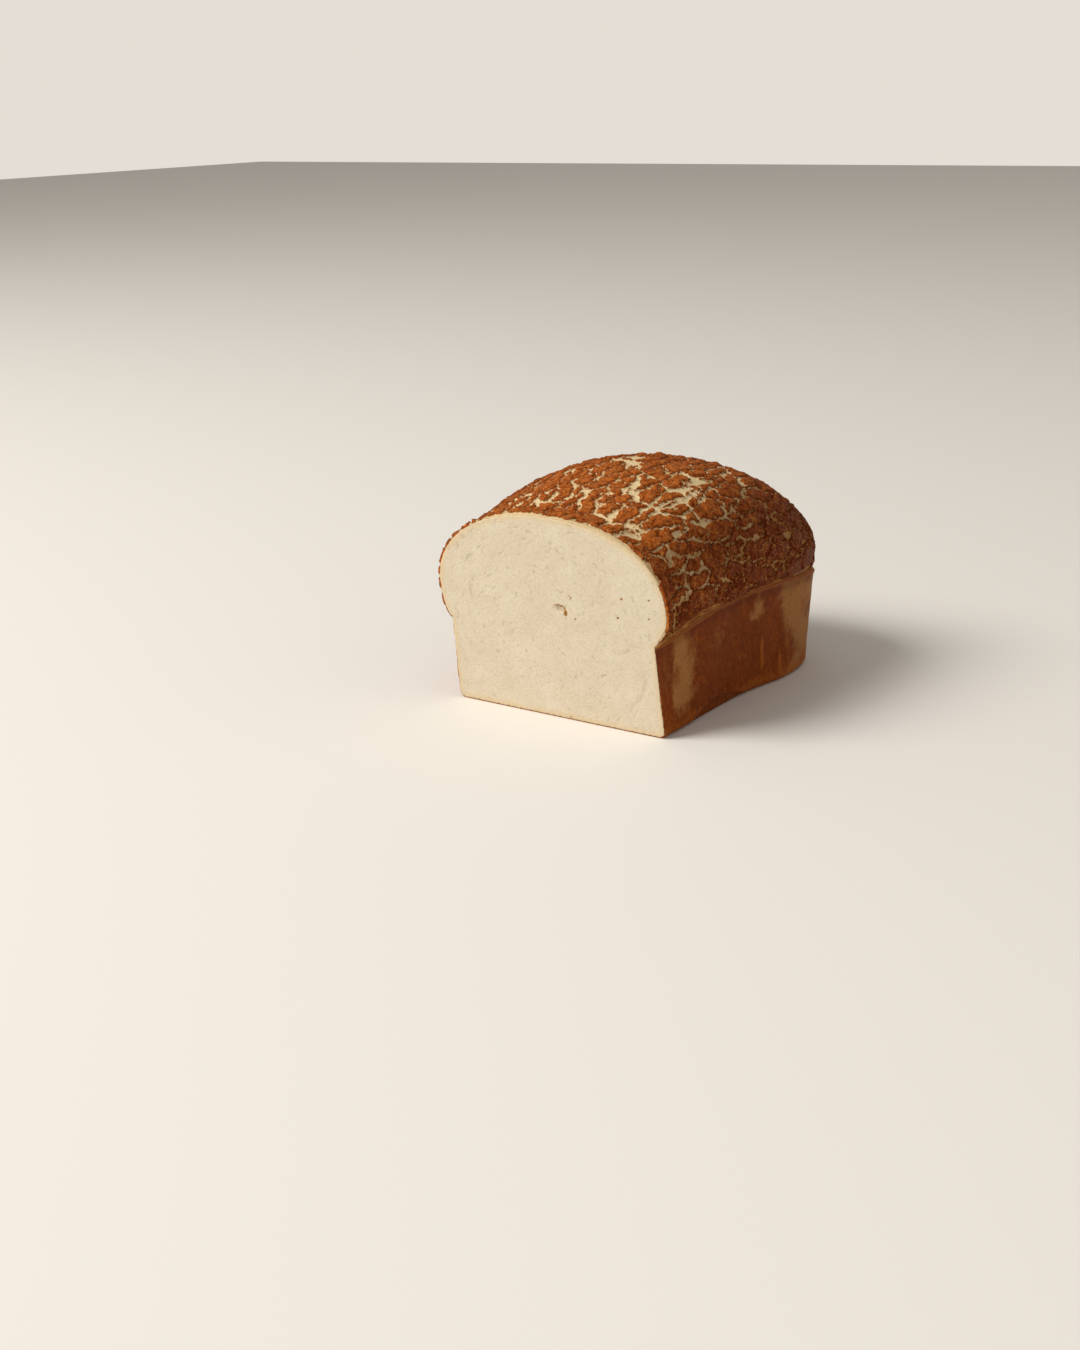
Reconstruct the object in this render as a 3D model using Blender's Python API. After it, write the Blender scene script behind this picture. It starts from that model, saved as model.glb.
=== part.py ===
"""A white tin loaf with a crackled crown, cut through and standing on its base.

One closed solid. The cut face looks along -Y, the far end along +Y, and the loaf stands on z = 0.
The box round the loaf is centred on x = 0 and y = 0. All lengths are in metres.
"""

import math

import bmesh
import bpy
import numpy as np
from mathutils import Vector, noise

# The part that baked inside the tin, measured from the foot of the cut
BASE_HALF_WIDTH = 0.0705
RIM_HALF_WIDTH = 0.0690
BASE_LENGTH = 0.1800
RIM_LENGTH = 0.1940
BASE_EDGE_RADIUS = 0.004
BASE_FLARE = 0.0070
RIM_FLARE = 0.0035
FLARE_START = 0.080
FLARE_REACH = 0.060
RIM_HEIGHT = 0.054
RIM_RISE = 0.006
RIM_RISE_CENTRE = 0.090
RIM_LEFT_DROP = 0.003
BASE_CORNER_POWER = 5.0
RIM_CORNER_POWER = 5.4

# The crown that rose over the rim of the tin
CROWN_LEFT = 0.0745
CROWN_RIGHT = 0.0780
CROWN_LENGTH = 0.1955
CROWN_CORNER_POWER = 2.9
BULGE_HEIGHT = 0.0720
CROWN_HEIGHT = 0.1205
CROWN_RISE = 0.0240
CROWN_RISE_CENTRE = 0.074
CROWN_RISE_REACH = 0.103
SWELL_LEFT = 0.0080
SWELL_RIGHT = 0.0040
SWELL_CENTRE = 0.080
DOME_POWER_LEFT = 2.05
DOME_POWER_RIGHT = 2.28
DOME_POWER_END = 1.65

# The far end turns round over this last stretch of the length
END_DEPTH = 0.068

# The crown is modelled past the cut by this much, and the knife then leans over its foot by this angle
SPARE_LENGTH = 0.026
CUT_LEAN = math.radians(8.0)

# The crackled paste on the crown: plates that stand proud, with grooves of bare dough between them
PLATE_SIZE = 0.0175
PLATE_STRETCH = 1.25
PLATE_THICKNESS = 0.0015
CRACK_HALF_WIDTH = 0.0012
CRACK_WANDER = 0.0040
WANDER_SIZE = 0.0140
WANDER_SEED = 7
MOST_SNAP = 0.0024
CRAG_HEIGHT = 0.0006
CRAG_SIZE = 0.0050

# Cells of the mesh, about 6 mm wide on the crown, of which this share lies on the far end
CELLS_ACROSS = 23
CELLS_ALONG = 40
END_SHARE = 0.29
DOME_RINGS = 6
UNDER_RINGS = 4
BARE_RINGS = 1
WALL_RINGS = 5
EDGE_RINGS = 2
TOP_SHARE = 0.66

# Points this near the knife's plane are brought onto it, and points on the cut this close are merged
KNIFE_SNAP = 0.0009
SHORTEST_EDGE = 0.0005

BOX_CENTRE = Vector((-0.0003, 0.0900, 0.0))

CRUST_COLOUR = (0.42, 0.16, 0.04, 1.0)
CRUST_ROUGHNESS = 0.6


def superellipse(turn, power):
    """How far a dome stands out and up at a turn from 0, its widest line, to 1, its top."""
    angle = turn * math.pi / 2
    return max(math.cos(angle), 0.0) ** (2 / power), math.sin(angle) ** (2 / power)


def even_turns():
    """Turns at even steps along the arc of the dome."""
    turns = np.linspace(0.0, 1.0, 200)
    size = (CROWN_RIGHT, CROWN_HEIGHT - BULGE_HEIGHT)
    points = np.array([superellipse(turn, DOME_POWER_RIGHT) for turn in turns]) * size
    arc = np.concatenate([[0.0], np.cumsum(np.linalg.norm(np.diff(points, axis=0), axis=1))])
    return arc / arc[-1], turns


ARC, TURNS = even_turns()


def end_part(along):
    """0 on the straight stretch of the plan, rising to 1 at the far end."""
    return max(along - (1 - END_SHARE), 0.0) / END_SHARE


def plan_point(place, half_width, length, power, shares=(1.0, 1.0)):
    """A point on a plan outline, and how much it faces the far end; shares pull it in sideways and endways."""
    across, along = place
    end = end_part(along)
    round_size = max((abs(across) ** power + end**power) ** (1 / power), 1e-9)
    straight = min(along / (1 - END_SHARE), 1.0)
    x = half_width * across / round_size * shares[0]
    y = -SPARE_LENGTH + (length - END_DEPTH + SPARE_LENGTH) * straight
    y += END_DEPTH * end / round_size * shares[1]
    return Vector((x, y, 0.0)), end / round_size


def rim_height(x, y):
    """The rim of the tin left its mark here: highest at mid-length, a little lower on the left."""
    along = (max(y, 0.0) - RIM_RISE_CENTRE) / RIM_RISE_CENTRE
    left = max(-x, 0.0) / RIM_HALF_WIDTH
    return RIM_HEIGHT + RIM_RISE * (1 - along * along) - RIM_LEFT_DROP * left


def crown_rise(y, up):
    """Extra height of the crown, which rose most at mid-length."""
    at_cut = (CROWN_RISE_CENTRE / CROWN_RISE_REACH) ** 2
    here = ((max(y, 0.0) - CROWN_RISE_CENTRE) / CROWN_RISE_REACH) ** 2
    return CROWN_RISE * (at_cut - here) * up


def crown_half_width(across, y):
    """Half the width of the crown, which also swelled sideways at mid-length."""
    swell = max(1 - ((max(y, 0.0) - SWELL_CENTRE) / SWELL_CENTRE) ** 2, 0.0)
    if across < 0:
        return CROWN_LEFT + SWELL_LEFT * swell
    return CROWN_RIGHT + SWELL_RIGHT * swell


def crown_plan(place, shares=(1.0, 1.0)):
    """A point on the plan of the crown."""
    first, _ = plan_point(place, 1.0, CROWN_LENGTH, CROWN_CORNER_POWER, shares)
    half_width = crown_half_width(place[0], first.y)
    return plan_point(place, half_width, CROWN_LENGTH, CROWN_CORNER_POWER, shares)


def dome_point(place, share):
    """A point of the crown above its widest line; share runs along the arc from there to the top."""
    turn = float(np.interp(share, ARC, TURNS))
    side = superellipse(turn, DOME_POWER_LEFT if place[0] < 0 else DOME_POWER_RIGHT)
    end = superellipse(turn, DOME_POWER_END)
    point, facing = crown_plan(place, (side[0], end[0]))
    up = side[1] + (end[1] - side[1]) * facing**2
    point.z = BULGE_HEIGHT + (CROWN_HEIGHT - BULGE_HEIGHT) * up + crown_rise(point.y, up)
    return point


def flared(point, across, facing, most):
    """The point moved sideways, as the tin's sides spread by this much towards the far end."""
    t = min(max((point.y - FLARE_START) / FLARE_REACH, 0.0), 1.0)
    spread = most * t * t * (3 - 2 * t) * (1 - facing**4)
    return point + Vector((across * spread, 0.0, 0.0))


def rim_plan(place):
    """A point on the plan of the rim of the tin."""
    point, facing = plan_point(place, RIM_HALF_WIDTH, RIM_LENGTH, RIM_CORNER_POWER)
    return flared(point, place[0], facing, RIM_FLARE)


def under_point(place, share):
    """A point of the crown's overhang; share runs from the rim of the tin to the widest line."""
    low = rim_plan(place)
    high, _ = crown_plan(place)
    point = low.lerp(high, math.sin(share * math.pi / 2))
    foot = rim_height(low.x, low.y)
    point.z = foot + (BULGE_HEIGHT - foot) * (1 - math.cos(share * math.pi / 2))
    return point


def wall_point(place, share):
    """A point of the wall that the tin shaped; share runs from above its rounded foot to the rim."""
    low, facing = plan_point(place, BASE_HALF_WIDTH, BASE_LENGTH, BASE_CORNER_POWER)
    point = flared(low, place[0], facing, BASE_FLARE).lerp(rim_plan(place), share)
    point.z = BASE_EDGE_RADIUS + (rim_height(point.x, point.y) - BASE_EDGE_RADIUS) * share
    return point


def foot_point(place, share):
    """A point of the rounded edge; share runs from the flat base to the foot of the wall."""
    point = wall_point(place, 0.0)
    inset = BASE_EDGE_RADIUS * (1 - math.sin(share * math.pi / 2))
    point.x *= 1 - inset / BASE_HALF_WIDTH
    point.y -= inset * end_part(place[1])
    point.z = BASE_EDGE_RADIUS * (1 - math.cos(share * math.pi / 2))
    return point


def rings_below():
    """The rings below the top of the crown, each as its function and share, down to the flat base."""
    dome = [(dome_point, (1 - TOP_SHARE) * (1 - k / DOME_RINGS)) for k in range(1, DOME_RINGS + 1)]
    under = [(under_point, 1 - k / UNDER_RINGS) for k in range(1, UNDER_RINGS + 1)]
    wall = [(wall_point, 1 - k / WALL_RINGS) for k in range(1, WALL_RINGS + 1)]
    foot = [(foot_point, 1 - k / EDGE_RINGS) for k in range(1, EDGE_RINGS + 1)]
    return dome + under, wall + foot


def top_of_crown(bm):
    """A grid bent over the top of the crown, and each vertex's place on it."""
    made = bmesh.ops.create_grid(bm, x_segments=CELLS_ACROSS, y_segments=CELLS_ALONG, size=1.0)
    places = {}
    for vertex in made["verts"]:
        place = (vertex.co.x, (vertex.co.y + 1) / 2)
        size = max(abs(place[0]), end_part(place[1]))
        places[vertex] = place
        vertex.co = dome_point(place, 1 - TOP_SHARE * size)
    at_front = {vertex for vertex, place in places.items() if place[1] < 1e-6}
    rim = [e for e in bm.edges if e.is_boundary and not at_front.issuperset(e.verts)]
    return places, rim


def hang_rings(bm, places, rim, rings):
    """Extrudes the rim down, one ring at a time, and gives the last rim and the faces of each ring."""
    bands = []
    for shape, share in rings:
        olds = {vertex for edge in rim for vertex in edge.verts}
        made = bmesh.ops.extrude_edge_only(bm, edges=rim)["geom"]
        fresh = {item for item in made if isinstance(item, bmesh.types.BMVert)}
        for vertex in fresh:
            above = next(e.other_vert(vertex) for e in vertex.link_edges if e.other_vert(vertex) in olds)
            places[vertex] = places[above]
            vertex.co = shape(places[above], share)
        rim = [e for e in made if isinstance(e, bmesh.types.BMEdge) and fresh.issuperset(e.verts)]
        bands.append([item for item in made if isinstance(item, bmesh.types.BMFace)])
    return rim, bands


def near_plates(point):
    """A point in the wandering space of the cracks, and the middles of the plates nearest to it."""
    place = point + noise.noise_vector(point / WANDER_SIZE) * CRACK_WANDER
    place.y /= PLATE_STRETCH
    place /= PLATE_SIZE
    return place, noise.voronoi(place)[1]


def step_to_crack(point, normal):
    """The step along the surface from a point to the line midway between its two nearest plates."""
    place, middles = near_plates(point)
    towards = (middles[1] - middles[0]).normalized()
    step = towards * ((middles[0] + middles[1]) / 2 - place).dot(towards) * PLATE_SIZE
    step.y *= PLATE_STRETCH
    step -= normal * step.dot(normal)
    return step * min(1.0, MOST_SNAP / max(step.length, 1e-9))


def share_out_plates(faces):
    """The faces of each plate: every face belongs to the plate whose middle is nearest."""
    plates = {}
    for face in faces:
        _, middles = near_plates(face.calc_center_median())
        plates.setdefault(middles[0].to_tuple(3), []).append(face)
    return plates


def raise_plates(bm, faces):
    """Straightens the borders between plates, roughens the crown and lifts each plate out of its groove."""
    bm.normal_update()
    plates = share_out_plates(faces)
    owner = {face: key for key, plate in plates.items() for face in plate}
    moves = {}
    for vertex in {vertex for face in faces for vertex in face.verts}:
        owners = {owner.get(face) for face in vertex.link_faces}
        crag = noise.noise(vertex.co / CRAG_SIZE) * CRAG_HEIGHT
        moves[vertex] = vertex.normal * crag
        if len(owners) > 1 and None not in owners and not vertex.is_boundary:
            moves[vertex] += step_to_crack(vertex.co, vertex.normal)
    for vertex, move in moves.items():
        vertex.co += move
    for _, plate in sorted(plates.items()):
        bmesh.ops.inset_region(
            bm, faces=plate, thickness=CRACK_HALF_WIDTH, depth=PLATE_THICKNESS, use_even_offset=False
        )


def close_base(bm, places, foot):
    """Fills the flat base."""
    ends = [v for e in foot for v in e.verts if places[v][1] < 1e-6]
    front = bm.edges.new(ends)
    bmesh.ops.contextual_create(bm, geom=foot + [front])


def cut_through(bm):
    """Cuts the front off with one leaning stroke, and fills the face that the knife left."""
    ahead = Vector((0.0, -math.cos(CUT_LEAN), -math.sin(CUT_LEAN)))
    for vertex in bm.verts:
        off_plane = vertex.co.dot(ahead)
        if abs(off_plane) < KNIFE_SNAP:
            vertex.co -= ahead * off_plane
    everything = bm.verts[:] + bm.edges[:] + bm.faces[:]
    cut = bmesh.ops.bisect_plane(
        bm, geom=everything, dist=1e-6, plane_co=(0, 0, 0), plane_no=ahead, clear_outer=True
    )["geom_cut"]
    edge = [item for item in cut if isinstance(item, bmesh.types.BMVert)]
    bmesh.ops.remove_doubles(bm, verts=edge, dist=SHORTEST_EDGE)
    loose = [e for e in bm.edges if not e.link_faces]
    bmesh.ops.delete(bm, geom=loose, context="EDGES")
    bmesh.ops.contextual_create(bm, geom=[e for e in bm.edges if e.is_boundary])


def crust_material():
    """Baked crust."""
    material = bpy.data.materials.new("baked_crust")
    material.use_nodes = True
    shader = material.node_tree.nodes["Principled BSDF"]
    shader.inputs["Base Color"].default_value = CRUST_COLOUR
    shader.inputs["Roughness"].default_value = CRUST_ROUGHNESS
    shader.inputs["Metallic"].default_value = 0.0
    return material


def build_loaf(collection):
    """The whole loaf as one closed mesh."""
    # Without a seed Blender draws new noise vectors on each run, and the plates would lie elsewhere
    noise.seed_set(WANDER_SEED)
    bm = bmesh.new()
    places, rim = top_of_crown(bm)
    top = list(bm.faces)
    crown_rings, tin_rings = rings_below()
    rim, bands = hang_rings(bm, places, rim, crown_rings)
    foot, _ = hang_rings(bm, places, rim, tin_rings)
    covered = [face for band in bands[: len(bands) - BARE_RINGS] for face in band]
    bmesh.ops.recalc_face_normals(bm, faces=bm.faces)
    close_base(bm, places, foot)
    raise_plates(bm, top + covered)
    cut_through(bm)
    bmesh.ops.translate(bm, verts=bm.verts, vec=-BOX_CENTRE)
    bmesh.ops.recalc_face_normals(bm, faces=bm.faces)
    mesh = bpy.data.meshes.new("loaf")
    bm.to_mesh(mesh)
    bm.free()
    mesh.materials.append(crust_material())
    mesh.shade_smooth()
    mesh.set_sharp_from_angle(angle=math.radians(35))
    loaf = bpy.data.objects.new("loaf", mesh)
    collection.objects.link(loaf)


def main():
    for obj in list(bpy.data.objects):
        bpy.data.objects.remove(obj)
    collection = bpy.data.collections.new("tin_loaf")
    bpy.context.scene.collection.children.link(collection)
    build_loaf(collection)


main()
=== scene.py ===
# %% [markdown]
# # A crackled tin loaf
# This notebook dresses one cut loaf of white bread: a smooth box that baked inside a tin, a domed
# crown that rose over the tin's rim, a skin of paste on the crown that dried, crackled and browned,
# and the pale crumb that the knife laid open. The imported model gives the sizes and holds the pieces.

# %% Load the frame
import math

import bmesh
import bpy
import numpy as np
from mathutils import Matrix, Vector, noise


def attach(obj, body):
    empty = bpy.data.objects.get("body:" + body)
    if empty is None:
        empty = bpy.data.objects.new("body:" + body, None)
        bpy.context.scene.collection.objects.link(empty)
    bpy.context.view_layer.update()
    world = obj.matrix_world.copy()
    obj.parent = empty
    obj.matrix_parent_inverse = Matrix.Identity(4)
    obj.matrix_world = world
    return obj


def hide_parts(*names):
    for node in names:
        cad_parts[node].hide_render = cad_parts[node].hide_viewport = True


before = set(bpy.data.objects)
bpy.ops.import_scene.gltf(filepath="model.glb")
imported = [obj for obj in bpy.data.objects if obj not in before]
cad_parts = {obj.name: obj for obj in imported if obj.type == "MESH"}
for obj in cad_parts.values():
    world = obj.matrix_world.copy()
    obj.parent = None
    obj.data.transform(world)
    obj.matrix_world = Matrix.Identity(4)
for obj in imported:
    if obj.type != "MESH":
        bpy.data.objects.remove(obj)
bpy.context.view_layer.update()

MM = 0.001

# %% [markdown]
# ## Where the viewer stands
# The loaf is seen from its right front corner and a little from above, through a lens that hardly
# stretches it. The camera could be aimed with a constraint, but three plain turns say more: how far
# it has walked round, how far it looks down, and how much the horizon tips.

# %% Camera
CAMERA_PLACE = Vector((0.5510, -0.8801, 0.3420))
CAMERA_YAW = math.radians(35.5)
CAMERA_DOWN = math.radians(18.2)
CAMERA_TIP = math.radians(-1.4)
LENS_MM = 48.0

camera = bpy.data.objects.new("camera", bpy.data.cameras.new("camera"))
camera.data.lens = LENS_MM
turn = Matrix.Rotation(CAMERA_YAW, 4, "Z") @ Matrix.Rotation(math.pi / 2 - CAMERA_DOWN, 4, "X")
camera.matrix_world = Matrix.Translation(CAMERA_PLACE) @ turn @ Matrix.Rotation(CAMERA_TIP, 4, "Z")
bpy.context.scene.collection.objects.link(camera)
bpy.context.scene.camera = camera
print("the camera stands", round(CAMERA_PLACE.length, 2), "m from the loaf")

# %% [markdown]
# ## Light and floor
# Bread looks soft under one wide light from the side, which rakes over the crackled crown, with a
# pale room to fill the shade. A sun would cut hard shadows, so area lights are used: their size
# sets how soft the shadow's edge is. The floor is a wide sheet of plain pale colour.

# %% Light and floor
FLOOR_COLOUR = (0.84, 0.81, 0.77, 1.0)
ROOM_COLOUR = (1.0, 0.95, 0.87, 1.0)
ROOM_STRENGTH = 0.36
BACKDROP_COLOUR = (0.78, 0.73, 0.67, 1.0)
KEY_POWER = 155.0
FILL_POWER = 3.0


def area_light(name, place, size, power, colour):
    """A square soft light that looks at the middle of the loaf."""
    light = bpy.data.objects.new(name, bpy.data.lights.new(name, "AREA"))
    light.data.shape = "SQUARE"
    light.data.size = size
    light.data.energy = power
    light.data.color = colour
    light.location = place
    light.rotation_euler = (Vector((0, 0, 0.06)) - Vector(place)).to_track_quat("-Z", "Y").to_euler()
    bpy.context.scene.collection.objects.link(light)


area_light("key", (-1.9, -2.3, 2.7), 2.0, KEY_POWER, (1.0, 0.97, 0.92))
area_light("fill", (2.6, -1.2, 1.4), 2.2, FILL_POWER, (1.0, 0.96, 0.92))

bm = bmesh.new()
bmesh.ops.create_grid(bm, x_segments=1, y_segments=1, size=6.0)
floor = bpy.data.objects.new("floor", bpy.data.meshes.new("floor"))
bm.to_mesh(floor.data)
bm.free()
bpy.context.scene.collection.objects.link(floor)

room = bpy.data.worlds.new("room")
room.use_nodes = True
tree = room.node_tree
tree.nodes["Background"].inputs["Color"].default_value = ROOM_COLOUR
tree.nodes["Background"].inputs["Strength"].default_value = ROOM_STRENGTH
seen = tree.nodes.new("ShaderNodeBackground")
seen.inputs["Color"].default_value = BACKDROP_COLOUR
either = tree.nodes.new("ShaderNodeMixShader")
tree.links.new(tree.nodes.new("ShaderNodeLightPath").outputs["Is Camera Ray"], either.inputs[0])
tree.links.new(tree.nodes["Background"].outputs[0], either.inputs[1])
tree.links.new(seen.outputs[0], either.inputs[2])
tree.links.new(either.outputs[0], tree.nodes["World Output"].inputs["Surface"])
bpy.context.scene.world = room
bpy.context.scene.view_settings.view_transform = "Standard"
print("one key light, one fill and a pale room")

# %% [markdown]
# ## The form of the loaf
# A tin loaf is two shapes on one plan. The tin gives a box with round corners that widens a little
# to its rim. The crown springs from that rim, leans out past it and closes in a dome that is highest
# at mid-length. A plan with corners like these is a superellipse, |x|^n + |y|^n = 1: a small n gives
# an oval and a large one a box. The same sizes shape the solid in the model, so both agree.

# %% Sizes of the tin and the crown
BASE_HALF_WIDTH = 0.0705
RIM_HALF_WIDTH = 0.0690
BASE_LENGTH = 0.1800
RIM_LENGTH = 0.1940
BASE_EDGE_RADIUS = 0.004
BASE_FLARE = 0.0070
RIM_FLARE = 0.0035
FLARE_START = 0.080
FLARE_REACH = 0.060
RIM_HEIGHT = 0.054
RIM_RISE = 0.006
RIM_RISE_CENTRE = 0.090
RIM_LEFT_DROP = 0.003
BASE_CORNER_POWER = 5.0
RIM_CORNER_POWER = 5.4
CROWN_LEFT = 0.0745
CROWN_RIGHT = 0.0780
CROWN_LENGTH = 0.1955
CROWN_CORNER_POWER = 2.9
BULGE_HEIGHT = 0.0720
CROWN_HEIGHT = 0.1205
CROWN_RISE = 0.0240
CROWN_RISE_CENTRE = 0.074
CROWN_RISE_REACH = 0.103
SWELL_LEFT = 0.0080
SWELL_RIGHT = 0.0040
SWELL_CENTRE = 0.080
DOME_POWER_LEFT = 2.05
DOME_POWER_RIGHT = 2.28
DOME_POWER_END = 1.65
END_DEPTH = 0.068
CUT_LEAN = math.tan(math.radians(8.0))
BOX_CENTRE = Vector((-0.0003, 0.0900, 0.0))
END_SHARE = 0.30
TOP_SHARE = 0.66
print("the crown is", round((CROWN_LEFT + CROWN_RIGHT) / MM, 1), "mm wide at the cut")


# %% Helpers for smooth steps and domes
def step(value, low, high):
    """0 below low and 1 above high, with an easy slope between."""
    t = min(max((value - low) / (high - low), 0.0), 1.0)
    return t * t * (3 - 2 * t)


def near(value, middle, reach):
    """1 at the middle and 0 beyond its reach on both sides."""
    return 1 - step(abs(value - middle), 0.4 * reach, reach)


def ripple(point, size, height, shift=Vector((0.0, 0.0, 0.0))):
    """Soft noise with swells of this size in metres, up to about this height above and below zero."""
    return noise.noise(point / size + shift) * height


def superellipse(turn, power):
    """How far a dome stands out and up at a turn from 0, its widest line, to 1, its top."""
    angle = turn * math.pi / 2
    return max(math.cos(angle), 0.0) ** (2 / power), math.sin(angle) ** (2 / power)


TURNS = np.linspace(0.0, 1.0, 400)
arc = [superellipse(turn, DOME_POWER_RIGHT) for turn in TURNS]
arc = np.array(arc) * (CROWN_RIGHT, CROWN_HEIGHT - BULGE_HEIGHT)
ARC = np.concatenate([[0.0], np.cumsum(np.linalg.norm(np.diff(arc, axis=0), axis=1))])
print("the dome's arc is", round(ARC[-1] / MM, 1), "mm long from its widest line to its top")
ARC = ARC / ARC[-1]


# %% The plan of the loaf
def end_part(along):
    """0 on the straight stretch of the plan, rising to 1 at the far end."""
    return max(along - (1 - END_SHARE), 0.0) / END_SHARE


def plan_point(place, half_width, length, power, front, shares=(1.0, 1.0)):
    """A point on a plan outline that starts at y = front, and how much it faces the far end."""
    across, along = place
    end = end_part(along)
    round_size = max((abs(across) ** power + end**power) ** (1 / power), 1e-9)
    straight = min(along / (1 - END_SHARE), 1.0)
    x = half_width * across / round_size * shares[0]
    y = front + (length - END_DEPTH - front) * straight
    y += END_DEPTH * end / round_size * shares[1]
    return Vector((x, y, 0.0)), end / round_size


def rim_height(x, y):
    """The rim of the tin left its mark here: highest at mid-length, a little lower on the left."""
    along = (max(y, 0.0) - RIM_RISE_CENTRE) / RIM_RISE_CENTRE
    left = max(-x, 0.0) / RIM_HALF_WIDTH
    return RIM_HEIGHT + RIM_RISE * (1 - along * along) - RIM_LEFT_DROP * left


# %% The crown above its widest line
def crown_rise(y, up):
    """Extra height of the crown, which rose most at mid-length."""
    at_cut = (CROWN_RISE_CENTRE / CROWN_RISE_REACH) ** 2
    here = ((max(y, 0.0) - CROWN_RISE_CENTRE) / CROWN_RISE_REACH) ** 2
    return CROWN_RISE * (at_cut - here) * up


def crown_plan(place, front, shares=(1.0, 1.0)):
    """A point on the plan of the crown, which swelled sideways at mid-length."""
    first, facing = plan_point(place, 1.0, CROWN_LENGTH, CROWN_CORNER_POWER, front, shares)
    swell = max(1 - ((max(first.y, 0.0) - SWELL_CENTRE) / SWELL_CENTRE) ** 2, 0.0)
    wide = CROWN_LEFT + SWELL_LEFT * swell if place[0] < 0 else CROWN_RIGHT + SWELL_RIGHT * swell
    return Vector((first.x * wide, first.y, 0.0)), facing


def dome_point(place, share):
    """A point of the crown above its widest line; share runs along the arc from there to the top."""
    turn = float(np.interp(share, ARC, TURNS))
    side = superellipse(turn, DOME_POWER_LEFT if place[0] < 0 else DOME_POWER_RIGHT)
    end = superellipse(turn, DOME_POWER_END)
    height = CROWN_HEIGHT - BULGE_HEIGHT
    front = -CUT_LEAN * (BULGE_HEIGHT + height * side[1])
    point, facing = crown_plan(place, front, (side[0], end[0]))
    up = side[1] + (end[1] - side[1]) * facing**2
    point.z = BULGE_HEIGHT + height * up + crown_rise(point.y, up)
    return point


# %% The overhang, the tin wall and the rounded foot
def flared(point, across, facing, most):
    """The point moved sideways, as the tin's sides spread by this much towards the far end."""
    spread = most * step(point.y, FLARE_START, FLARE_START + FLARE_REACH) * (1 - facing**4)
    return point + Vector((across * spread, 0.0, 0.0))


def rim_plan(place, front):
    """A point on the plan of the rim of the tin."""
    point, facing = plan_point(place, RIM_HALF_WIDTH, RIM_LENGTH, RIM_CORNER_POWER, front)
    return flared(point, place[0], facing, RIM_FLARE)


def under_point(place, share):
    """A point of the overhang, which leaves the rim flat on the left and slanting on the right."""
    slant = step(place[0], -0.5, 0.5)
    lift = (1 - math.cos(share * math.pi / 2)) * (1 - slant) + share * slant
    foot = rim_height(place[0] * RIM_HALF_WIDTH, 0.0)
    front = -CUT_LEAN * (foot + (BULGE_HEIGHT - foot) * lift)
    low = rim_plan(place, front)
    high, _ = crown_plan(place, front)
    point = low.lerp(high, math.sin(share * math.pi / 2))
    foot = rim_height(low.x, low.y)
    point.z = foot + (BULGE_HEIGHT - foot) * lift
    return point


def wall_point(place, share):
    """A point of the wall that the tin shaped; share runs from above its rounded foot to the rim."""
    top = rim_height(place[0] * RIM_HALF_WIDTH, 0.0)
    front = -CUT_LEAN * (BASE_EDGE_RADIUS + (top - BASE_EDGE_RADIUS) * share)
    low, facing = plan_point(place, BASE_HALF_WIDTH, BASE_LENGTH, BASE_CORNER_POWER, front)
    point = flared(low, place[0], facing, BASE_FLARE).lerp(rim_plan(place, front), share)
    point.z = BASE_EDGE_RADIUS + (rim_height(point.x, point.y) - BASE_EDGE_RADIUS) * share
    return point


def foot_point(place, share):
    """A point of the rounded edge; share runs from the flat base to the foot of the wall."""
    point = wall_point(place, 0.0)
    inset = BASE_EDGE_RADIUS * (1 - math.sin(share * math.pi / 2))
    point.z = BASE_EDGE_RADIUS * (1 - math.cos(share * math.pi / 2))
    point.x *= 1 - inset / BASE_HALF_WIDTH
    point.y -= inset * end_part(place[1])
    if place[1] < 1e-6:
        point.y = -CUT_LEAN * point.z
    return point


# %% [markdown]
# ## Building a ring at a time
# The skin could be one sheet wrapped over a block, but a loaf is easier to follow as rings: a grid
# bent over the top, whose edge is extruded down a step at a time. Each new ring keeps its place
# round the loaf and takes its height from the form above. The first row of every ring lies in the
# leaning plane of the knife, so the cut needs no trimming.

# %% Ring tools
SMALL = 1e-6


def noting_bmesh(*names):
    """An empty bmesh whose vertices can each carry a number under these names."""
    bm = bmesh.new()
    for name in names:
        bm.verts.layers.float.new(name)
    return bm


def hang_rings(bm, places, rim, rings):
    """Extrudes the rim down, one ring at a time, and gives back the last rim."""
    for shape, share in rings:
        olds = {vertex for edge in rim for vertex in edge.verts}
        made = bmesh.ops.extrude_edge_only(bm, edges=rim)["geom"]
        fresh = {item for item in made if isinstance(item, bmesh.types.BMVert)}
        for vertex in fresh:
            above = next(e.other_vert(vertex) for e in vertex.link_edges if e.other_vert(vertex) in olds)
            places[vertex] = places[above]
            vertex.co = shape(places[above], share)
        rim = [e for e in made if isinstance(e, bmesh.types.BMEdge) and fresh.issuperset(e.verts)]
    return rim


def falling(shape, count):
    """Rings of one shape from just below its top down to its foot."""
    return [(shape, 1 - k / count) for k in range(1, count + 1)]


def close_foot(bm, places, rim):
    """Closes the last ring with a face."""
    ends = [v for e in rim for v in e.verts if places[v][1] < SMALL]
    bmesh.ops.contextual_create(bm, geom=rim + [bm.edges.new(ends)])


def next_ring(bm, ring, place_of, normals):
    """Extrudes a closed ring of edges once, and puts each new vertex where its old one says."""
    olds = {vertex for edge in ring for vertex in edge.verts}
    made = bmesh.ops.extrude_edge_only(bm, edges=ring)["geom"]
    fresh = {item for item in made if isinstance(item, bmesh.types.BMVert)}
    for vertex in fresh:
        old = next(e.other_vert(vertex) for e in vertex.link_edges if e.other_vert(vertex) in olds)
        vertex.co = place_of(old)
        normals[vertex] = normals[old]
    return [e for e in made if isinstance(e, bmesh.types.BMEdge) and fresh.issuperset(e.verts)]


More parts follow.
